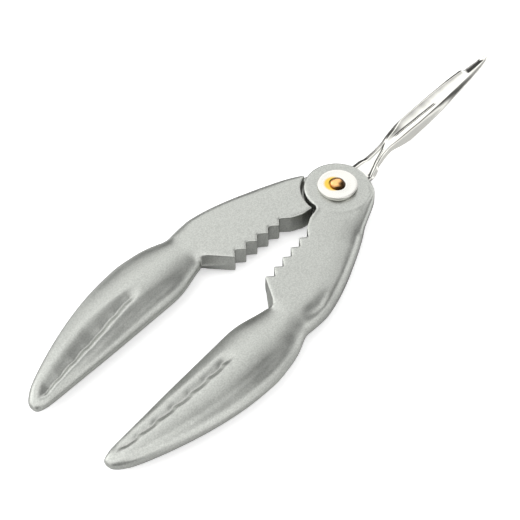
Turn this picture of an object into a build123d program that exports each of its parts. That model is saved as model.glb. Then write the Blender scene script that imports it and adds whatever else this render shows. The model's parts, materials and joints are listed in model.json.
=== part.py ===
from build123d import *
import math
import os

# A lobster cracker: two identical cast arms lapped on one rivet, with a pressed
# steel pick held between the laps.  Millimetres.  The model is drawn about the
# middle plane of the stack, with the rivet's axis on Z, and then lifted so that
# the origin is the middle of the flat underside, where the cracker rests.
# +X runs between the handles, +Z points to the rivet's head, and the right arm
# lies on the +Y side.

# Driving dimensions
reach = 166.0  # rivet to the far end of a handle
jaw_half_thickness = 4.7
lug_radius = 14.7
lug_top = 5.5  # outer face of a lug, from the middle plane
sheet = 1.2  # thickness of the pick's tang
shank_radius = 3.0
washer_radius = 8.8
washer_thickness = 1.7

# Clearances
turning_gap = 0.05  # radial in a bore, axial between faces that turn
recess_gap = 1.5  # round the rim of the other arm's lug
seat_gap = 0.02  # radial where a washer or the tang sits on the rivet

# Sizes that follow
lug_inner = sheet / 2 + turning_gap
recess_radius = lug_radius + recess_gap
washer_seat = lug_top + turning_gap
washer_face = washer_seat + washer_thickness

# Teeth and spur, along the jaw's inner edge
tooth_count = 5
tooth_pitch = 6.42
tooth_depth = 2.8
first_tooth = (26.6, 4.5)
tooth_rise = 0.76  # how much further from the middle line each tooth stands
spur_tip = (58.7, 8.0)
waist_inner = (68.6, 18.4)

# The jaw beside the lug, and its outer edge from the shoulder to the waist
neck = [(12.0, -0.6), (14.4, -0.6), (16.1, 1.2), (21.5, 2.0)]
neck_back = (2.5, 12.0)
shoulder = (3.0, 18.0)
jaw_outer = [shoulder, (10, 22.6), (20, 27.5), (30, 31.6), (40, 35.2), (50, 37.9), (60, 39.2), (67, 39.1)]
jaw_edge_radius = 3.4

# The sloping facets on the back of the spur, above and below its upright band
facet_start = 0.3  # height above the middle plane
facet_setback = 2.6  # on the face, at the waist; it runs out at the spur's tip
facet_reach = 3.0  # how far a facet's cutter stands out from the spur's back

# The lug's rim, and the fairing that joins it to the shoulder
lug_edge_radius = 0.9
fairing_rim = [(14, 24.6), (0, 18.8), (-9, 13.6), (-13.6, 5.5)]
fairing_top = 4.4

# Handle sections: place along the arm as a share of the reach, middle line,
# half width, half thickness
handle_sections = [
    (0.375, 29.4, 9.6, 4.8),
    (0.417, 28.7, 10.8, 4.8),
    (0.459, 29.4, 13.0, 5.2),
    (0.508, 29.4, 14.9, 5.7),
    (0.574, 29.4, 15.2, 6.0),
    (0.665, 29.0, 14.4, 6.0),
    (0.755, 27.7, 12.7, 5.7),
    (0.846, 25.7, 10.1, 5.2),
    (0.906, 24.0, 8.0, 4.7),
    (0.955, 22.3, 6.0, 4.0),
    (0.985, 21.0, 4.1, 3.0),
    (1.0, 20.2, 2.2, 1.7),
]
section_roundness = 2.05  # 2 is an ellipse, more is squarer
section_points = 20

# Pick sections: distance from the rivet, ridge half width, ridge height above
# the tang's face, drop of the folded edge, depth of the dish between the ridges
pick_sections = [
    (17.8, 3.9, 0.0, 2.7, 0.0),
    (23.8, 2.9, 0.8, 2.6, 0.0),
    (24.2, 2.8, 0.8, 1.8, 0.0),
    (31.0, 1.9, 1.8, 1.8, 0.0),
    (36.0, 1.6, 2.6, 2.0, 0.2),
    (42.0, 1.9, 2.9, 3.0, 0.6),
    (48.0, 2.3, 2.9, 3.4, 0.9),
    (62.0, 2.9, 2.3, 2.9, 1.1),
    (75.0, 3.6, 1.8, 1.9, 1.0),
    (88.0, 3.9, 1.5, 0.9, 0.9),
    (100.0, 3.4, 0.9, 0.5, 0.6),
    (110.0, 2.4, 0.4, 0.35, 0.3),
    (115.0, 1.5, 0.2, 0.3, 0.1),
    (116.8, 0.6, 0.1, 0.2, 0.0),
]
pick_sheet = 1.0  # thickness of the pressed blade
pick_lean = 0.8  # degrees the pick stands off the middle line at rest
tang_radius = 11.0  # round the rivet
tang_half_width = 6.2
tang_overlap = 0.5  # how far the flat tang runs on into the blade

# The rivet's head and its tail, which is set flush in the lower washer
head_radius = 3.2
head_height = 1.7
tail_depth = 1.0
washer_chamfer = 0.2


def cylinder_between(radius, low, high):
    """A cylinder on the rivet's axis from one height to another."""
    return Pos(0, 0, (low + high) / 2) * Cylinder(radius, high - low)


def face_within(*curves):
    """The face bounded by curves that meet end to end."""
    edges = ShapeList()
    for curve in curves:
        edges += curve.edges()
    return make_face(edges)


def tooth_points():
    """Tips and valleys along the jaw, from the rivet outwards, ending at the spur."""
    points = []
    for number in range(tooth_count):
        tip = (first_tooth[0] + number * tooth_pitch, first_tooth[1] + number * tooth_rise)
        next_tip = (tip[0] + tooth_pitch, tip[1] + tooth_rise)
        valley = (next_tip[0] - tooth_depth, next_tip[1] + tooth_depth)
        points += [tip, valley]
    return points + [spur_tip]


def jaw_plate():
    """The jaw's full-thickness body, with its outer edges rounded."""
    inner = Polyline(*neck, *tooth_points(), waist_inner)
    end = Line(waist_inner, jaw_outer[-1])
    outer = Spline(*jaw_outer)
    back = Polyline(shoulder, neck_back, neck[0])
    plate = extrude(face_within(inner, end, outer, back), jaw_half_thickness, both=True)
    flat_edges = plate.edges().filter_by(lambda edge: abs(edge.center().Z) > jaw_half_thickness / 2)
    outer_edges = flat_edges.sort_by(SortBy.LENGTH)[-2:]
    return fillet(outer_edges, jaw_edge_radius)


def handle_section(share, middle, half_width, half_thickness):
    """One closed, rounded section across the handle."""
    points = []
    for step in range(section_points):
        angle = math.tau * step / section_points
        cosine, sine = math.cos(angle), math.sin(angle)
        across = half_width * math.copysign(abs(cosine) ** (2 / section_roundness), cosine)
        up = half_thickness * math.copysign(abs(sine) ** (2 / section_roundness), sine)
        points.append((across, up))
    plane = Plane(origin=(share * reach, middle, 0), x_dir=(0, 1, 0), z_dir=(1, 0, 0))
    return plane * make_face(Spline(*points, periodic=True))


def handle():
    """The claw-shaped handle, lofted through its sections."""
    return loft([handle_section(*section) for section in handle_sections])


def lug():
    """The upper lug: a disc that stands proud of the jaw, and the fairing round its shoulder."""
    disc = cylinder_between(lug_radius, lug_inner, lug_top)
    disc = fillet(disc.edges().sort_by(Axis.Z)[-1], lug_edge_radius)
    hub = Polyline(fairing_rim[-1], (0, 0), fairing_rim[0])
    fairing = extrude(face_within(Spline(*fairing_rim), hub), fairing_top - lug_inner)
    return disc + Pos(0, 0, lug_inner) * fairing


def spur_facet():
    """The sliver cut off the back of the spur, nothing at its tip and widest at the waist."""
    run = Vector(*waist_inner, 0) - Vector(*spur_tip, 0)
    inwards = Vector(0, 0, 1).cross(run.normalized())
    rise = jaw_half_thickness - facet_start
    ends = []
    for share, setback in ((0, 0.02 * facet_setback), (1.05, facet_setback)):
        plane = Plane(origin=Vector(*spur_tip, facet_start) + run * share, x_dir=inwards, z_dir=run)
        outline = [(-facet_reach, 0), (0, 0), (setback, rise), (setback, 2 * rise), (-facet_reach, 2 * rise)]
        ends.append(plane * make_face(Polyline(*outline, close=True)))
    return loft(ends, ruled=True)


def right_arm():
    """One casting: jaw, handle and upper lug, bored for the rivet."""
    facet = spur_facet()
    recess = cylinder_between(recess_radius, -2 * lug_top, lug_inner)
    bore = cylinder_between(shank_radius + turning_gap, -2 * lug_top, 2 * lug_top)
    arm = jaw_plate() + handle() - facet - mirror(facet, Plane.XY)
    return arm - recess + lug() - bore


def left_arm(casting):
    """The same casting, turned over about the middle line."""
    return casting.rotate(Axis.X, 180)


def pick_section(distance, ridge, height, drop, dish):
    """One closed section of the pressed blade: two ridges, folded edges, a dish between them."""
    top = [
        (-ridge - drop, height - drop),
        (-ridge, height),
        (0, height - dish),
        (ridge, height),
        (ridge + drop, height - drop),
    ]
    under = [(across, up - pick_sheet) for across, up in reversed(top)]
    plane = Plane(origin=(-distance, 0, sheet / 2), x_dir=(0, 1, 0), z_dir=(1, 0, 0))
    return plane * make_face(Polyline(*top, *under, close=True))


def pick():
    """The pick: a flat tang round the rivet and a pressed blade."""
    hub = cylinder_between(tang_radius, -sheet / 2, sheet / 2)
    tang_length = pick_sections[0][0] + tang_overlap
    tang = Pos(-tang_length / 2, 0, 0) * Box(tang_length, 2 * tang_half_width, sheet)
    blade = loft([pick_section(*section) for section in pick_sections], ruled=True)
    hole = cylinder_between(shank_radius + seat_gap, -sheet, sheet)
    return (hub + tang + blade - hole).rotate(Axis.Z, pick_lean)


def tail_cone(gap):
    """The rivet's flared tail, or with a gap the countersink that holds it."""
    cone = Cone(shank_radius + tail_depth + gap, shank_radius + gap, tail_depth)
    return Pos(0, 0, tail_depth / 2 - washer_face) * cone


def pivot_rivet():
    """The rivet: shank, domed head above, and a tail set flush in the lower washer."""
    shank = cylinder_between(shank_radius, -washer_face, washer_face)
    dome_radius = (head_radius**2 + head_height**2) / (2 * head_height)
    dome = Pos(0, 0, washer_face + head_height - dome_radius) * Sphere(dome_radius)
    dome &= cylinder_between(head_radius, washer_face, washer_face + 2 * head_height)
    return shank + dome + tail_cone(0)


def washer():
    """The upper washer, lying on the right arm's lug."""
    ring = cylinder_between(washer_radius, washer_seat, washer_face)
    ring = chamfer(ring.edges().sort_by(Axis.Z)[-1], washer_chamfer)
    return ring - cylinder_between(shank_radius + seat_gap, 0, 2 * washer_face)


def bottom_washer():
    """The lower washer, countersunk for the rivet's tail: the cracker rests on it."""
    return washer().rotate(Axis.X, 180) - tail_cone(seat_gap)


if __name__ == "__main__":
    casting = right_arm()
    parts = {
        "right_arm": casting,
        "left_arm": left_arm(casting),
        "pick": pick(),
        "pivot_rivet": pivot_rivet(),
        "top_washer": washer(),
        "bottom_washer": bottom_washer(),
    }
    os.makedirs("parts", exist_ok=True)
    for name, shape in parts.items():
        export_step(Pos(0, 0, washer_face) * shape, f"parts/{name}.step")
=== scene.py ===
"""A lobster cracker: cast aluminium arms, a polished steel pick and washers, a brass rivet."""

import json
import math

import bmesh
import bpy
import numpy as np
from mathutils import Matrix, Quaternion, Vector
from mathutils.bvhtree import BVHTree


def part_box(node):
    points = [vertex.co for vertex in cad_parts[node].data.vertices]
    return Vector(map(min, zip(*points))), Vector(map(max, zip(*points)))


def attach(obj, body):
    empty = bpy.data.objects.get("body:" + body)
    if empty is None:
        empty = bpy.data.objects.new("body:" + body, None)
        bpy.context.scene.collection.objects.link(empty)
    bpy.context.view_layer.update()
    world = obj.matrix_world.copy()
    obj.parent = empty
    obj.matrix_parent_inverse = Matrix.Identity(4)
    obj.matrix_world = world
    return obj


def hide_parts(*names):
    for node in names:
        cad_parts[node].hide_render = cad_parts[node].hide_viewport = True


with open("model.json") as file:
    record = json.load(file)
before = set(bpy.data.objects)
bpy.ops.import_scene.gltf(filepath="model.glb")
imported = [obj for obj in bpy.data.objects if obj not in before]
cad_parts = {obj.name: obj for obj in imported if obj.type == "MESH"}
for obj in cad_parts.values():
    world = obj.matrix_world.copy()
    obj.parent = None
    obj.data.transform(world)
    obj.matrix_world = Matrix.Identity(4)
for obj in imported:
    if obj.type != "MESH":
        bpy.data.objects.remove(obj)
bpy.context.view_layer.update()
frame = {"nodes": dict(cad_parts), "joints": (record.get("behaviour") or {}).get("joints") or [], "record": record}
nodes = frame["nodes"]

MM = 0.001
middle = frame["joints"][0]["pos_m"][2]  # height of the middle of the rivet stack
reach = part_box("right_arm")[1].x  # rivet to the far end of a handle
stack_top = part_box("top_washer")[1].z


# --------------------------------------------------------------- mesh helpers

weld = 0.002 * MM  # points closer than this in a CAD mesh are one point
lathe_weld = 0.001 * MM


def smooth(value, low, high):
    """0 below low, 1 above high, and a smooth rise between."""
    share = np.clip((value - low) / (high - low), 0, 1)
    return share * share * (3 - 2 * share)


def band(value, start, full, fade, end):
    """1 between full and fade, 0 before start and after end."""
    return smooth(value, start, full) * (1 - smooth(value, fade, end))


def coordinates(mesh):
    flat = np.empty(3 * len(mesh.vertices))
    mesh.vertices.foreach_get("co", flat)
    return flat.reshape(-1, 3)


def normals(mesh):
    flat = np.empty(3 * len(mesh.vertices))
    mesh.vertex_normals.foreach_get("vector", flat)
    return flat.reshape(-1, 3)


def neighbour_pairs(mesh):
    flat = np.empty(2 * len(mesh.edges), dtype=np.int64)
    mesh.edges.foreach_get("vertices", flat)
    return flat.reshape(-1, 2)


def set_coordinates(mesh, points):
    mesh.vertices.foreach_set("co", points.ravel())
    mesh.update()


def towards_neighbours(points, pairs, amount):
    """Each point moved by its amount towards the mean of its neighbours."""
    count = len(points)
    degree = np.bincount(pairs.ravel(), minlength=count)
    means = np.empty_like(points)
    for axis in range(3):
        column = points[:, axis]
        total = np.bincount(pairs[:, 0], column[pairs[:, 1]], count)
        total += np.bincount(pairs[:, 1], column[pairs[:, 0]], count)
        means[:, axis] = total / degree
    return points + amount[:, None] * (means - points)


def soften(points, pairs, amount, rounds):
    """Points evened out where amount is 1; corners are rounded and shrink a little."""
    for _ in range(rounds):
        points = towards_neighbours(points, pairs, 0.5 * amount)
    return points


def relax(points, pairs, amount, rounds):
    """Small ridges smoothed away where amount is 1, without shrinking the shape."""
    for _ in range(rounds):
        points = towards_neighbours(points, pairs, 0.5 * amount)
        points = towards_neighbours(points, pairs, -0.52 * amount)
    return points


def fine_copy(node, size):
    """A copy of a CAD node's mesh, welded and remeshed in small even faces."""
    mesh = nodes[node].data.copy()
    shape = bmesh.new()
    shape.from_mesh(mesh)
    bmesh.ops.remove_doubles(shape, verts=shape.verts, dist=weld)
    shape.to_mesh(mesh)
    shape.free()
    holder = bpy.data.objects.new(node + "_source", mesh)
    bpy.context.scene.collection.objects.link(holder)
    remesh = holder.modifiers.new("even_faces", "REMESH")
    remesh.mode = "VOXEL"
    remesh.voxel_size = size
    graph = bpy.context.evaluated_depsgraph_get()
    fine = bpy.data.meshes.new_from_object(holder.evaluated_get(graph))
    bpy.data.objects.remove(holder)
    return fine


def piece(name, mesh, node, body, look=None):
    """A finished piece that stands for a CAD node and moves with its body."""
    mesh.shade_smooth()
    mesh.materials.clear()
    mesh.materials.append(materials[look or slots[node]])
    made = bpy.data.objects.new(name, mesh)
    bpy.context.scene.collection.objects.link(made)
    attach(made, body)
    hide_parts(node)
    return made


def lathe(profile, steps):
    """A closed ring turned round the rivet's axis from points (radius, height)."""
    rows = []
    for step in range(steps):
        angle = math.tau * step / steps
        rows += [(radius * math.cos(angle), radius * math.sin(angle), height) for radius, height in profile]
    faces = []
    count = len(profile)
    for step in range(steps):
        here = step * count
        there = (step + 1) % steps * count
        for number in range(count):
            after = (number + 1) % count
            faces.append((here + number, there + number, there + after, here + after))
    mesh = bpy.data.meshes.new("lathe")
    mesh.from_pydata(rows, [], faces)
    shape = bmesh.new()
    shape.from_mesh(mesh)
    bmesh.ops.remove_doubles(shape, verts=shape.verts, dist=lathe_weld)
    loose = [edge for edge in shape.edges if not edge.link_faces]
    bmesh.ops.delete(shape, geom=loose, context="EDGES")
    bmesh.ops.recalc_face_normals(shape, faces=shape.faces)
    shape.to_mesh(mesh)
    shape.free()
    return mesh


# --------------------------------------------------------------- node helpers


def material(name, metallic, roughness):
    """A new material, with its tree and its Principled shader to build on."""
    made = bpy.data.materials.new(name)
    made.use_nodes = True
    tree = made.node_tree
    shader = tree.nodes["Principled BSDF"]
    shader.inputs["Metallic"].default_value = metallic
    shader.inputs["Roughness"].default_value = roughness
    return made, tree, shader


def noise(tree, scale, detail=2.0, roughness=0.5):
    """A noise texture in object space, scale in features per metre."""
    place = tree.nodes.new("ShaderNodeTexCoord")
    texture = tree.nodes.new("ShaderNodeTexNoise")
    texture.inputs["Scale"].default_value = scale
    texture.inputs["Detail"].default_value = detail
    texture.inputs["Roughness"].default_value = roughness
    tree.links.new(place.outputs["Object"], texture.inputs["Vector"])
    return texture.outputs["Fac"]


def ramp(tree, value, low, high, low_out, high_out):
    """value mapped from low..high to low_out..high_out, clamped."""
    node = tree.nodes.new("ShaderNodeMapRange")
    node.interpolation_type = "SMOOTHSTEP"
    node.inputs["From Min"].default_value = low
    node.inputs["From Max"].default_value = high
    node.inputs["To Min"].default_value = low_out
    node.inputs["To Max"].default_value = high_out
    tree.links.new(value, node.inputs["Value"])
    return node.outputs["Result"]


def bump(tree, height, strength, distance):
    """A normal bumped by a height."""
    node = tree.nodes.new("ShaderNodeBump")
    node.inputs["Strength"].default_value = strength
    node.inputs["Distance"].default_value = distance
    tree.links.new(height, node.inputs["Height"])
    return node.outputs["Normal"]


def vector_math(tree, operation, vector, constant=(0, 0, 0)):
    """The outputs of an operation on a vector and a constant one."""
    node = tree.nodes.new("ShaderNodeVectorMath")
    node.operation = operation
    node.inputs[1].default_value = constant
    tree.links.new(vector, node.inputs[0])
    return node.outputs


def scaled(tree, base, *factors):
    """A colour scaled by each factor."""
    colour = tree.nodes.new("ShaderNodeRGB").outputs[0]
    colour.default_value = (*base, 1)
    for factor in factors:
        node = tree.nodes.new("ShaderNodeVectorMath")
        node.operation = "SCALE"
        tree.links.new(colour, node.inputs[0])
        tree.links.new(factor, node.inputs["Scale"])
        colour = node.outputs[0]
    return colour


def mixed(tree, first, second, share):
    """One colour turning into another as share goes from 0 to 1."""
    node = tree.nodes.new("ShaderNodeMix")
    node.data_type = "RGBA"
    node.inputs["A"].default_value = (*first, 1)
    node.inputs["B"].default_value = (*second, 1)
    tree.links.new(share, node.inputs["Factor"])
    return node.outputs["Result"]


def pointiness(tree):
    """High on edges, low in creases, and 0.5 on flat faces."""
    return tree.nodes.new("ShaderNodeNewGeometry").outputs["Pointiness"]


def facing_away(tree):
    """0 where the surface faces the eye, 1 at its outline."""
    return tree.nodes.new("ShaderNodeLayerWeight").outputs["Facing"]


def from_axis(tree, offset_x=0.0, offset_y=0.0):
    """Distance in plan from the rivet's axis, or from a point beside it."""
    place = tree.nodes.new("ShaderNodeTexCoord").outputs["Object"]
    moved = vector_math(tree, "SUBTRACT", place, (offset_x, offset_y, 0))["Vector"]
    flat = vector_math(tree, "MULTIPLY", moved, (1, 1, 0))["Vector"]
    return vector_math(tree, "LENGTH", flat)["Value"]


# ------------------------------------------------------------------- materials

noise_range = (0.3, 0.7)  # where most of a noise texture's values lie
stain_range = (0.2, 0.8)
turning_pitch = 0.35 * MM  # between the turning marks on a washer


def cast_aluminium():
    """Bead-blasted castings: a fine speckle, cloudy patches, edges lightened as wear and painted highlight,
    painted shade in the hollows and a painted dark outline where the surface turns from the eye.
    """
    made, tree, shader = material("cast_aluminium", 1.0, 0.4)
    grain = noise(tree, 1700, 2.0, 0.7)
    cloud = noise(tree, 90, 3.0)
    grain_tone = ramp(tree, grain, *noise_range, 0.85, 1.11)
    cloud_tone = ramp(tree, cloud, *noise_range, 0.97, 1.03)
    # edges lighter as wear and painted highlight; hollows darker as painted shade
    edge_wear_and_hollow_shade = ramp(tree, pointiness(tree), 0.46, 0.54, 0.88, 1.12)
    # painted shade: a dark outline where the surface turns away from the eye
    painted_rim_shade = ramp(tree, facing_away(tree), 0.62, 1.0, 1.0, 0.2)
    colour = scaled(tree, (0.50, 0.512, 0.482), grain_tone, cloud_tone, edge_wear_and_hollow_shade, painted_rim_shade)
    tree.links.new(colour, shader.inputs["Base Color"])
    tree.links.new(ramp(tree, cloud, *noise_range, 0.33, 0.39), shader.inputs["Roughness"])
    tree.links.new(bump(tree, grain, 0.3, 0.08 * MM), shader.inputs["Normal"])
    return made


def polished_steel():
    """Mirror steel with faint smears, with painted shade in its pressed creases and a painted dark outline where
    it turns from the eye.
    """
    made, tree, shader = material("polished_steel", 1.0, 0.06)
    smear = noise(tree, 60, 2.0)
    smear_tone = ramp(tree, smear, *noise_range, 0.97, 1.0)
    # painted shade: the pressed creases darkened in the colour
    painted_crease_shade = ramp(tree, pointiness(tree), 0.36, 0.47, 0.12, 1.0)
    # painted shade: a dark outline where the surface turns away from the eye
    painted_rim_shade = ramp(tree, facing_away(tree), 0.7, 1.0, 1.0, 0.15)
    colour = scaled(tree, (0.84, 0.83, 0.78), smear_tone, painted_crease_shade, painted_rim_shade)
    tree.links.new(colour, shader.inputs["Base Color"])
    tree.links.new(ramp(tree, smear, *noise_range, 0.08, 0.14), shader.inputs["Roughness"])
    tree.links.new(bump(tree, noise(tree, 400, 1.0), 0.01, 0.1 * MM), shader.inputs["Normal"])
    return made


def washer_steel():
    """Polished steel with faint turning marks, and a painted yellow reflection of the brass rivet beside it."""
    made, tree, shader = material("washer_steel", 1.0, 0.1)
    # painted reflection: the rivet's yellow beside its head, on both washers
    painted_brass_reflection = ramp(tree, from_axis(tree, 1.1 * MM, -1.4 * MM), 3.4 * MM, 4.8 * MM, 0.95, 0)
    colour = mixed(tree, (0.71, 0.70, 0.66), (0.72, 0.47, 0.05), painted_brass_reflection)
    tree.links.new(colour, shader.inputs["Base Color"])
    turns = tree.nodes.new("ShaderNodeMath")
    turns.operation = "MULTIPLY"
    turns.inputs[1].default_value = math.tau / turning_pitch
    tree.links.new(from_axis(tree), turns.inputs[0])
    rings = tree.nodes.new("ShaderNodeMath")
    rings.operation = "SINE"
    tree.links.new(turns.outputs[0], rings.inputs[0])
    tree.links.new(bump(tree, rings.outputs[0], 0.04, 0.05 * MM), shader.inputs["Normal"])
    return made


def brass():
    """A polished brass rivet, a little tarnished, with a painted highlight in the middle of its head and painted
    shade round its rim.
    """
    made, tree, shader = material("brass", 1.0, 0.2)
    stain = noise(tree, 700, 3.0)
    stain_tone = ramp(tree, stain, *stain_range, 0.85, 1.1)
    # painted highlight near the middle of the head and painted shade round its rim, set off centre
    painted_rim_shade = ramp(tree, from_axis(tree, 0.7 * MM, -0.5 * MM), 1.5 * MM, 3.2 * MM, 1.15, 0.06)
    tree.links.new(scaled(tree, (0.86, 0.47, 0.19), stain_tone, painted_rim_shade), shader.inputs["Base Color"])
    tree.links.new(ramp(tree, stain, *stain_range, 0.2, 0.28), shader.inputs["Roughness"])
    return made


materials = {
    "cast_aluminium": cast_aluminium(),
    "polished_steel": polished_steel(),
    "washer_steel": washer_steel(),
    "brass": brass(),
}
slots = {part["node"]: part["material_slot"] for part in frame["record"]["subparts"]}
for node, name in slots.items():
    nodes[node].data.materials.clear()
    nodes[node].data.materials.append(materials[name])


# ------------------------------------------------------------------- the arms

face_size = 0.45 * MM

# The wavy groove along each face of the handle: its depth follows the width of its
# wider side, and its ripple fades with distance from its line
groove_start = 0.585 * reach
groove_end = 0.985 * reach
groove_wave_length = 9 * MM
groove_ripple_reach = 1.6 * MM
groove_slope = 0.33

# Where each groove lies, as shares of the way from the middle to the inner edge, how far
# it ripples, and the widths of its inner and outer sides, at these places along it
groove_stops = (0, 0.45, 1)
top_groove = {
    "shares": (0.3, 0.28, 0.3),
    "ripple": 0.5 * MM,
    "inner_widths": np.array((4, 5, 4)) * MM,
    "outer_widths": np.array((2.4, 2.4, 2)) * MM,
}
low_groove = {
    "shares": (0.16, 0.28, 0.36),
    "ripple": 0.25 * MM,
    "inner_widths": np.array((2.4, 2.8, 2)) * MM,
    "outer_widths": np.array((3, 8.5, 6)) * MM,
}

# The shallow valley beside the handle's rounded rim, placed as a share of the half width
flank_depth = 0.42 * MM
flank_share = 0.64
flank_end_shares = {1: 0.64, -1: 0.82}  # near the tip, on the upper and the lower face
flank_width = 0.13

# The jaw's outer edge falls away gently, from well inside its rim
soft_edge_depth = 0.7 * MM
soft_edge_width = 12 * MM

# The hollow inside the jaw's outer edge, near the waist
hollow_path = np.array([(45, 33.2), (56, 34.6), (66, 33.6)]) * MM
hollow_depth = 0.6 * MM
hollow_width = 2.4 * MM


def edges_across(points):
    """The arm's inner and outer edges across Y, as functions of the place along it."""
    stations = np.arange(4 * MM, reach, MM)
    low, high = [], []
    for station in stations:
        across = points[np.abs(points[:, 0] - station) < MM, 1]
        low.append(across.min())
        high.append(across.max())
    return lambda x: np.interp(x, stations, low), lambda x: np.interp(x, stations, high)


def groove(points, shares, ripple, inner_widths, outer_widths):
    """How deep the wavy groove is at each point."""
    x, y = points[:, 0], points[:, 1]
    inner_edge, outer_edge = edges_across(points)
    centre = (inner_edge(x) + outer_edge(x)) / 2
    half = (outer_edge(x) - inner_edge(x)) / 2
    along = (x - groove_start) / (groove_end - groove_start)
    off = y - centre + np.interp(along, groove_stops, shares) * half
    turn = math.tau * (x - groove_start) / groove_wave_length
    wave = ripple * (np.sin(turn) + 0.3 * np.sin(2 * turn + 0.6)) * smooth(along, 0, 0.1)
    off -= wave * np.exp(-np.abs(off) / groove_ripple_reach)
    inner = np.interp(along, groove_stops, inner_widths)
    outer = np.interp(along, groove_stops, outer_widths)
    rest = np.clip(1 - np.abs(off) / np.where(off < 0, inner, outer), 0, 1)
    return groove_slope * np.maximum(inner, outer) * rest**1.4 * band(along, 0, 0.1, 0.88, 1)


def flank(points, side):
    """How deep the valley is: side 1 for the one by the outer rim, on top, and -1 by the inner, below."""
    x, y = points[:, 0], points[:, 1]
    inner_edge, outer_edge = edges_across(points)
    share = side * (2 * y - inner_edge(x) - outer_edge(x)) / (outer_edge(x) - inner_edge(x))
    place = np.interp(x, [0.6 * reach, 0.9 * reach], [flank_share, flank_end_shares[side]])
    depth = flank_depth * np.interp(x, [0.7 * reach, 0.95 * reach], [1, 0.55])
    ends = band(x, 0.48 * reach, 0.56 * reach, 0.93 * reach, 0.985 * reach)
    return depth * np.exp(-(((share - place) / flank_width) ** 2)) * ends


def distance_to_path(points, path):
    """Distance in plan to a line through a few points, and the share of the way along it."""
    best = np.full(len(points), np.inf)
    share = np.zeros(len(points))
    for number, (start, end) in enumerate(zip(path[:-1], path[1:])):
        run = end - start
        place = np.clip((points[:, :2] - start) @ run / (run @ run), 0, 1)
        away = np.linalg.norm(points[:, :2] - start - place[:, None] * run, axis=1)
        nearer = away < best
        best[nearer] = away[nearer]
        share[nearer] = (number + place[nearer]) / (len(path) - 1)
    return best, share


def hollow(points):
    """How deep the hollow beside the jaw's outer edge is."""
    away, share = distance_to_path(points, hollow_path)
    return hollow_depth * np.exp(-((away / hollow_width) ** 2)) * band(share, 0, 0.5, 0.6, 1)


def soften_outer_edge(points):
    """The jaw's faces fall away gently towards its outer edge."""
    x, y, z = points[:, 0], points[:, 1], points[:, 2] - middle
    inset = edges_across(points)[1](x) - y
    fall = soft_edge_depth * np.clip(1 - inset / soft_edge_width, 0, 1) ** 2
    fall *= band(x, 4 * MM, 18 * MM, 62 * MM, 76 * MM)
    softened = points.copy()
    softened[:, 2] -= fall * np.clip(z / (4 * MM), -1, 1)
    return softened


def raise_to_lug(points):
    """The jaw's upper face rises to meet the lug, with no step left between them."""
    x, y, z = points[:, 0], points[:, 1], points[:, 2] - middle
    radius = np.hypot(x, y)
    lug_face = z[radius < 10 * MM].max()
    jaw_face = z[(x > 35 * MM) & (x < 50 * MM)].max()
    angle = np.degrees(np.arctan2(y, x))
    jaw_side = band(angle, -12, 0, 110, 150)
    outer = edges_across(points)[1](x)
    target = jaw_face + (lug_face - jaw_face) * (1 - smooth(radius, 14 * MM, 34 * MM))
    lifted = np.where(radius > 14.6 * MM, z + (target - jaw_face) * np.clip(z / jaw_face, 0, 1), z)
    on_rim = band(radius, 12.6 * MM, 13.4 * MM, 24 * MM, 32 * MM)
    on_rim *= smooth(z, 0.7 * lug_face, 0.8 * lug_face) * smooth(outer - y, 1 * MM, 6 * MM)
    lifted += on_rim * np.maximum(0, target - lifted)
    raised = points.copy()
    raised[:, 2] = middle + z + jaw_side * (lifted - z)
    return raised


def smooth_seams(points, pairs):
    """The casting flows together at the waist, the lug and the shoulder; its tip and teeth are eased."""
    x, y, z = points[:, 0], points[:, 1], points[:, 2] - middle
    radius = np.hypot(x, y)
    waist = band(x, 54 * MM, 64 * MM, 84 * MM, 96 * MM) * smooth(y, 18 * MM, 24 * MM)
    lug_seam = band(radius, 12 * MM, 13.5 * MM, 20 * MM, 28 * MM)
    lug_seam *= smooth(x + y, 8 * MM, 14 * MM) * smooth(z, 3 * MM, 4.3 * MM)
    shoulder = (1 - smooth(x, 24 * MM, 34 * MM)) * smooth(y, 15 * MM, 19 * MM)
    tip = smooth(x, 0.955 * reach, 0.985 * reach)
    teeth = band(x, 18 * MM, 24 * MM, 60 * MM, 66 * MM) * (1 - smooth(y, 16 * MM, 20 * MM))
    points = relax(points, pairs, np.maximum(waist, lug_seam), 120)
    points = relax(points, pairs, shoulder, 120)
    points = soften(points, pairs, waist, 160)
    points = soften(points, pairs, np.maximum(tip, shoulder), 25)
    points = soften_outer_edge(points)
    return soften(points, pairs, teeth, 5)


def casting():
    """The right arm's surface: lug blended in, seams smoothed, and grooves, valleys and hollow pressed."""
    mesh = fine_copy("right_arm", face_size)
    pairs = neighbour_pairs(mesh)
    points = coordinates(mesh)
    points = relax(points, pairs, np.ones(len(points)), 4)
    points = raise_to_lug(points)
    grooved = smooth(points[:, 0], groove_start - 5 * MM, groove_start)
    points = smooth_seams(points, pairs)
    set_coordinates(mesh, points)
    upward = normals(mesh)[:, 2]
    top_face = smooth(upward, 0.2, 0.7)
    low_face = smooth(-upward, 0.2, 0.7)
    top_depth = groove(points, **top_groove) + flank(points, 1) + hollow(points)
    low_depth = groove(points, **low_groove) + flank(points, -1)
    points[:, 2] += low_face * low_depth - top_face * top_depth
    points = soften(points, pairs, grooved, 4)
    set_coordinates(mesh, points)
    return mesh


def turned_over(mesh):
    """The same casting, turned over about the middle line."""
    turned = mesh.copy()
    points = coordinates(turned)
    points[:, 1] *= -1
    points[:, 2] = 2 * middle - points[:, 2]
    set_coordinates(turned, points)
    return turned


def arms():
    right = casting()
    left = turned_over(right)
    piece("right_arm_casting", right, "right_arm", "right_arm")
    piece("left_arm_casting", left, "left_arm", "left_arm")


# ------------------------------------------------------------------- the pick

pick_root = -17.8 * MM  # where the flat tang ends and the pressed blade begins
pick_sheet = 0.9 * MM
blade_columns = 81
blade_rows = 220

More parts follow.
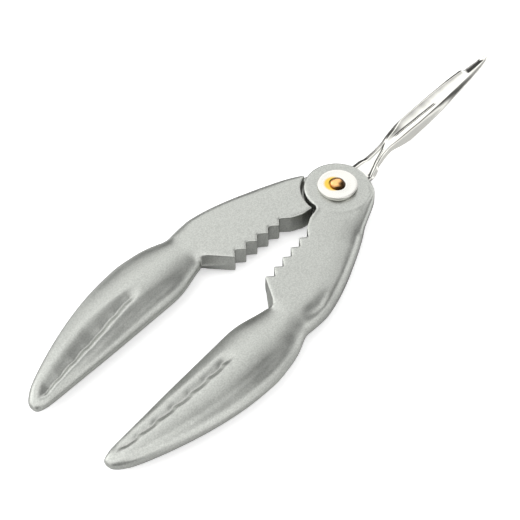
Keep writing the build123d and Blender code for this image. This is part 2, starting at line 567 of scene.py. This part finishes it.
# Lines on the blade in plan: the ridge beside the near edge, the streak in the
# dish, and the crease that crosses the root from the near edge to the far one
near_ridge = [(-115, -0.2), (-103, 0.5), (-91, 1.4), (-78, 2.4), (-60, 2.1)]
near_ridge += [(-44, 1.8), (-33, 1.4), (-26, 1.8), (-18, 4.3)]
near_ridge = np.array(near_ridge) * MM
streak_line = np.array([(-72.5, -0.1), (-60, -0.5), (-41, -0.9)]) * MM
root_crease = np.array([(-39.2, -2.8), (-34.2, -0.3), (-26.7, 1.5), (-18, 4.3)]) * MM

# How the blade is pressed
dish_depth = 0.2 * MM
wall_width = 0.9 * MM  # of the drop at the far edge
pressed_depth = 0.34 * MM  # of a pressed line
pressed_half_width = 0.5 * MM
streak_step = 0.16 * MM
streak_step_width = 1.1 * MM
crease_step = 0.15 * MM
crease_step_width = 0.5 * MM
beaten_slope = 0.42
beaten_edge = -0.6 * MM


def blurred(values, spread, axis=0):
    """values softened along an axis, with spread in samples."""
    span = int(3 * spread) + 1
    weights = np.exp(-0.5 * (np.arange(-span, span + 1) / spread) ** 2)
    weights /= weights.sum()
    padding = [(0, 0)] * values.ndim
    padding[axis] = (span, span)
    padded = np.pad(values, padding, mode="edge")
    return np.apply_along_axis(lambda row: np.convolve(row, weights, mode="valid"), axis, padded)


def read_blade(stations):
    """The CAD blade's extent across Y, and the height of its crest and edges, at each station."""
    mesh = nodes["pick"].data
    tree = BVHTree.FromPolygons([v.co for v in mesh.vertices], [p.vertices for p in mesh.polygons])
    low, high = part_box("pick")
    levels = np.arange(low.z + 0.05 * MM, high.z, 0.1 * MM)
    beside = 30 * MM
    inset = 0.1 * MM

    def extent(x, side):
        inward = Vector((0, -side, 0))
        hits = [tree.ray_cast(Vector((x, side * beside, level)), inward)[0] for level in levels]
        return max(side * hit.y for hit in hits if hit is not None)

    def height(x, y):
        hit = tree.ray_cast(Vector((x, y, 2 * high.z)), Vector((0, 0, -1)))[0]
        return low.z if hit is None else hit.z

    near = np.array([extent(x, 1) for x in stations])
    far = np.array([-extent(x, -1) for x in stations])
    near_edge = np.array([height(x, y - inset) for x, y in zip(stations, near)])
    far_edge = np.array([height(x, y + inset) for x, y in zip(stations, far)])
    crest = []
    for x, far_y, near_y in zip(stations, far, near):
        crest.append(max(height(x, y) for y in np.linspace(far_y, near_y, 25)[1:-1]))
    return near, far, near_edge, far_edge, np.array(crest)


def line_at(line, x):
    """A line's place across the blade at x."""
    return np.interp(x, line[:, 0], line[:, 1])


def pressed(away):
    """The depth of a pressed line at a distance from it."""
    return pressed_depth * np.clip(1 - np.abs(away) / pressed_half_width, 0, 1)


def step_down(away, width):
    """0 on a line's near side, 1 on its far side, turning over a width."""
    return np.clip(0.5 - away / width, 0, 1)


def blade_heights(x, y, near, far, near_edge, far_edge, crest):
    """The blade's upper surface: two folded edges with a dish between them."""
    broad = 1 - smooth(-x, 46 * MM, 54 * MM)  # 1 near the root, 0 along the blade
    ridge = np.minimum(line_at(near_ridge, x), near - 0.25 * (near - far))
    strip = np.minimum((0.5 + 1.5 * broad) * MM, 0.2 * (near - far))
    wall = np.minimum(wall_width, 0.15 * (near - far))
    other = far + wall + strip
    inside = np.clip((y - other) / (ridge - other), 0, 1)
    dish = dish_depth * band(-x, 34 * MM, 46 * MM, 104 * MM, 115 * MM)
    height = crest - 4 * dish * inside * (1 - inside)

    # The near edge is folded well down, in one rounded sweep
    near_share = np.clip((y - ridge) / (near - ridge), 0, 1)
    sweep = 1.4 + smooth(x, -30 * MM, -24 * MM)
    height -= (crest - near_edge) * near_share**sweep

    # The far edge slopes off in a narrow strip and then drops
    on_strip = np.clip((other - y) / strip, 0, 1)
    on_wall = np.clip((far + wall - y) / wall, 0, 1)
    strip_drop = np.minimum(0.38 * strip, 0.5 * (crest - far_edge))
    height -= strip_drop * on_strip + (crest - far_edge - strip_drop) * on_wall

    # A pressed streak: the dish is a little lower on its far side
    streak = line_at(streak_line, x)
    on_streak = band(-x, 40 * MM, 48 * MM, 71.5 * MM, 73.5 * MM)
    foot = np.clip((y - other) / (streak - other), 0, 1)
    height -= on_streak * streak_step * foot * step_down(y - streak, streak_step_width)
    height -= on_streak * pressed(y - streak)

    # A pressed crease crosses the root, with a low step on its far side
    crease = y - line_at(root_crease, x)
    on_crease = 1 - smooth(-x, 37 * MM, 40 * MM)
    foot = np.clip((y - other) / MM, 0, 1)
    height -= on_crease * crease_step * foot * step_down(crease, crease_step_width)
    height -= on_crease * pressed(crease)

    # The far side of the tip is beaten down
    beaten = band(-x, 100 * MM, 103 * MM, 112.5 * MM, 115 * MM)
    height -= beaten_slope * beaten * np.maximum(0, beaten_edge - y)
    return height


def rounded_edge(start, end):
    """Points of a half circle from one face of the sheet to the other, in a plane of constant X."""
    start, end = np.array(start), np.array(end)
    centre = (start + end) / 2
    arm = start - centre
    turned = np.array([0, arm[2], -arm[1]])
    angles = [math.radians(angle) for angle in (30, 60, 90, 120, 150)]
    return [tuple(centre + math.cos(angle) * arm + math.sin(angle) * turned) for angle in angles]


def blade_ring(x, y, z, across, up):
    """One closed section of the blade: its upper face, an edge, its under face and the other edge."""
    top = list(zip(x, y, z))
    under = list(zip(x, y - pick_sheet * across, z - pick_sheet * up))[::-1]
    return top + rounded_edge(top[-1], under[0]) + under + rounded_edge(under[-1], top[0])


def blade():
    """The points and faces of the pressed blade, as one closed skin with rounded edges."""
    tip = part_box("pick")[0].x
    stations = np.linspace(tip + 0.15 * MM, pick_root, blade_rows)
    near, far, near_edge, far_edge, crest = read_blade(stations)
    spread = 1.2 * MM / (stations[1] - stations[0])
    near_edge, far_edge, crest = [blurred(values, spread) for values in (near_edge, far_edge, crest)]
    near, far = blurred(near, 0.6 * spread), blurred(far, 0.6 * spread)
    edge = 0.5 * pick_sheet
    shares = np.linspace(0, 1, blade_columns)
    y = (far + edge)[:, None] + shares * (near - far - 2 * edge)[:, None]
    x = np.repeat(stations[:, None], blade_columns, axis=1)
    rows = [values[:, None] for values in (near, far, near_edge, far_edge, crest)]
    z = blurred(blurred(blade_heights(x, y, *rows), 1.2, axis=1), 1.5, axis=0)
    slope = np.gradient(z, axis=1) / np.gradient(y, axis=1)
    across, up = -slope / np.hypot(1, slope), 1 / np.hypot(1, slope)
    rings = [blade_ring(*values) for values in zip(x, y, z, across, up)]
    count = len(rings[0])
    last = (len(rings) - 1) * count
    faces = [tuple(range(count)), tuple(range(last, last + count))[::-1]]
    for row in range(len(rings) - 1):
        for number in range(count):
            here = row * count + number
            after = row * count + (number + 1) % count
            faces.append((here, here + count, after + count, after))
    return [point for ring in rings for point in ring], faces


def flat_tang():
    """The CAD pick's own flat tang, cut off where the blade begins."""
    tang = bmesh.new()
    tang.from_mesh(nodes["pick"].data)
    bmesh.ops.remove_doubles(tang, verts=tang.verts, dist=weld)
    cut = bmesh.ops.bisect_plane(
        tang,
        geom=tang.verts[:] + tang.edges[:] + tang.faces[:],
        plane_co=(pick_root + 0.1 * MM, 0, 0),
        plane_no=(-1, 0, 0),
        clear_outer=True,
    )
    rim = [edge for edge in cut["geom_cut"] if isinstance(edge, bmesh.types.BMEdge)]
    bmesh.ops.edgenet_fill(tang, edges=rim)
    flat = bpy.data.meshes.new("tang")
    tang.to_mesh(flat)
    tang.free()
    return flat


def pick():
    """The pressed blade, joined to the tang."""
    points, faces = blade()
    mesh = bpy.data.meshes.new("pick_skin")
    mesh.from_pydata(points, [], faces)
    shape = bmesh.new()
    shape.from_mesh(mesh)
    bmesh.ops.recalc_face_normals(shape, faces=shape.faces)
    shape.from_mesh(flat_tang())
    shape.to_mesh(mesh)
    shape.free()
    made = piece("pick_blade", mesh, "pick", "pivot")
    made.data.set_sharp_from_angle(angle=math.radians(40))


# ------------------------------------------------------- the rivet and washers

shank_radius = 3.0 * MM
head_radius = 3.2 * MM
head_lip = 0.15 * MM  # the upright rim under the dome
flare = 1.0 * MM  # height over which the shank widens to its head and to its tail
on_axis = 0.001 * MM  # a radius small enough for the lathe to close up
washer_bore = 3.02 * MM
washer_edge = 0.35 * MM
washer_foot = 0.1 * MM
washer_dish = 0.06 * MM


def fillet_points(radius, height, size, steps=5):
    """A quarter circle over an outer top edge at this radius and height, from the side to the face."""
    angles = [math.pi / 2 * step / steps for step in range(steps + 1)]
    return [(radius - size + size * math.cos(a), height - size + size * math.sin(a)) for a in angles]


def washer(name, flip):
    """A polished washer with softened edges, its face very slightly hollow."""
    low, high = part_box("top_washer")
    outer = high.x
    profile = [(washer_bore, low.z), (outer - washer_foot, low.z), (outer, low.z + washer_foot)]
    profile += fillet_points(outer, high.z, washer_edge)
    for share in (0.8, 0.6, 0.4, 0.2):
        radius = washer_bore + share * (outer - washer_edge - washer_bore)
        profile.append((radius, high.z - washer_dish * math.sin(math.pi * share)))
    profile.append((washer_bore, high.z))
    if flip:
        profile = [(radius, 2 * middle - height) for radius, height in profile]
    piece(name + "_ring", lathe(profile, 128), name, "pivot", look="washer_steel")


def rivet(dome_steps=12):
    """The rivet: a domed head with a soft rim, a plain shank, and a tail flush underneath."""
    low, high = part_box("pivot_rivet")
    tail = high.x
    profile = [(on_axis, low.z), (tail - 0.1 * MM, low.z), (tail, low.z + 0.05 * MM)]
    profile += [(shank_radius, low.z + flare), (shank_radius, stack_top - flare)]
    profile.append((head_radius, stack_top + 0.02 * MM))
    rise = high.z - stack_top - head_lip
    for step in range(dome_steps + 1):
        angle = math.pi / 2 * step / dome_steps
        radius = head_radius * math.cos(angle) ** 0.8
        profile.append((radius, stack_top + head_lip + rise * math.sin(angle)))
    piece("rivet_turned", lathe(profile, 96), "pivot_rivet", "pivot")


# --------------------------------------------------------------------- staging


def floor():
    """The pale table: white to the camera, and a soft grey in what it reflects onto the cracker."""
    mesh = bpy.data.meshes.new("floor")
    half = 3.0
    corners = [(-half, -half, 0), (half, -half, 0), (half, half, 0), (-half, half, 0)]
    mesh.from_pydata(corners, [], [(0, 1, 2, 3)])
    made = bpy.data.objects.new("floor", mesh)
    bpy.context.scene.collection.objects.link(made)
    paint, tree, shader = material("floor_paint", 0.0, 0.7)
    shader.inputs["Specular IOR Level"].default_value = 0.1
    shader.inputs["Emission Color"].default_value = (1, 1, 1, 1)
    seen = tree.nodes.new("ShaderNodeLightPath").outputs["Is Camera Ray"]
    white = scaled(tree, (1, 1, 1), ramp(tree, seen, 0, 1, 0.64, 0.95))
    tree.links.new(white, shader.inputs["Base Color"])
    tree.links.new(ramp(tree, seen, 0, 1, 0, 0.45), shader.inputs["Emission Strength"])
    mesh.materials.append(paint)


def direction(azimuth, elevation):
    """A unit vector from angles in degrees."""
    turn, rise = math.radians(azimuth), math.radians(elevation)
    return Vector((math.cos(turn) * math.cos(rise), math.sin(turn) * math.cos(rise), math.sin(rise)))


# The camera looks down at the cracker from the handles' side
camera_back = direction(40.5, 49.35)
camera_distance = 0.63
camera_target = Vector((0.0502, -0.0018, middle - 0.0003))
camera_roll = math.radians(-0.38)


def camera():
    data = bpy.data.cameras.new("camera")
    data.lens = 103.1
    data.clip_start = 0.01
    made = bpy.data.objects.new("camera", data)
    bpy.context.scene.collection.objects.link(made)
    made.location = camera_target + camera_back * camera_distance
    made.rotation_mode = "QUATERNION"
    made.rotation_quaternion = (-camera_back).to_track_quat("-Z", "Y") @ Quaternion((0, 0, 1), camera_roll)
    bpy.context.scene.camera = made


def card(tree, place, azimuth, elevation, inner, outer, tone):
    """A soft-edged patch of sky, toned down or up: inner and outer are its angular radii in degrees."""
    toward = vector_math(tree, "DOT_PRODUCT", place, direction(azimuth, elevation))["Value"]
    near, far = math.cos(math.radians(inner)), math.cos(math.radians(outer))
    return ramp(tree, toward, far, near, 1.0, tone)


def studio():
    """A bright dome with a lamp on the left, and grey cards behind, on the right and under the camera."""
    world = bpy.data.worlds.new("studio")
    world.use_nodes = True
    tree = world.node_tree
    background = tree.nodes["Background"]
    place = tree.nodes.new("ShaderNodeTexCoord").outputs["Generated"]
    cards = [
        card(tree, place, 231, 4, 15, 30, 0.05),  # low behind
        card(tree, place, 168, 54, 6, 32, 0.08),  # high on the right
        card(tree, place, 126, 16, 8, 26, 0.45),  # low on the right
        card(tree, place, 40, 6, 26, 48, 0.12),  # under the camera
        card(tree, place, 282, 14, 10, 26, 1.5),  # the lamp on the left
    ]
    brightness = (1.46, 1.46, 1.46)
    tree.links.new(scaled(tree, brightness, *cards), background.inputs["Color"])
    bpy.context.scene.world = world


arms()
pick()
washer("top_washer", flip=False)
washer("bottom_washer", flip=True)
rivet()
floor()
camera()
studio()
bpy.context.scene.view_settings.view_transform = "Standard"
